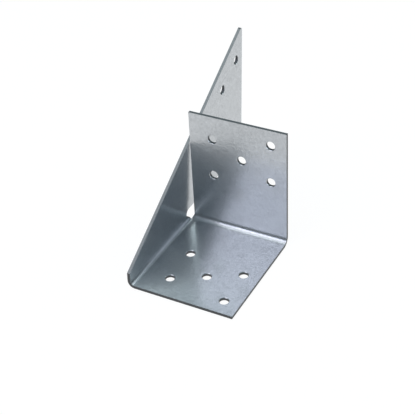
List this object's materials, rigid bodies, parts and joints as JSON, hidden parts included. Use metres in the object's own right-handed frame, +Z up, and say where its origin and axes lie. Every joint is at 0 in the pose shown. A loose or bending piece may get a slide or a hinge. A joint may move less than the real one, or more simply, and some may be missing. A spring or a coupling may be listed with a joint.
{
  "type": "framing bracket",
  "caption": "Folded galvanised steel framing bracket: a nailed base, an upright plate and a long triangular side gusset that ties timber members together at a corner.",
  "frame": {"origin": "on the base's underside, under the middle nail hole of the base", "axes": "+X from the gusset to the base's free edge, +Y from the base's front edge to the back, +Z up"},
  "size_m": [0.0535, 0.115, 0.0798],
  "materials": {
    "galvanised_sheet": "satin zinc coating"
  },
  "bodies": {
    "root": {"framing_bracket": "galvanised_sheet"}
  },
  "joints": []
}
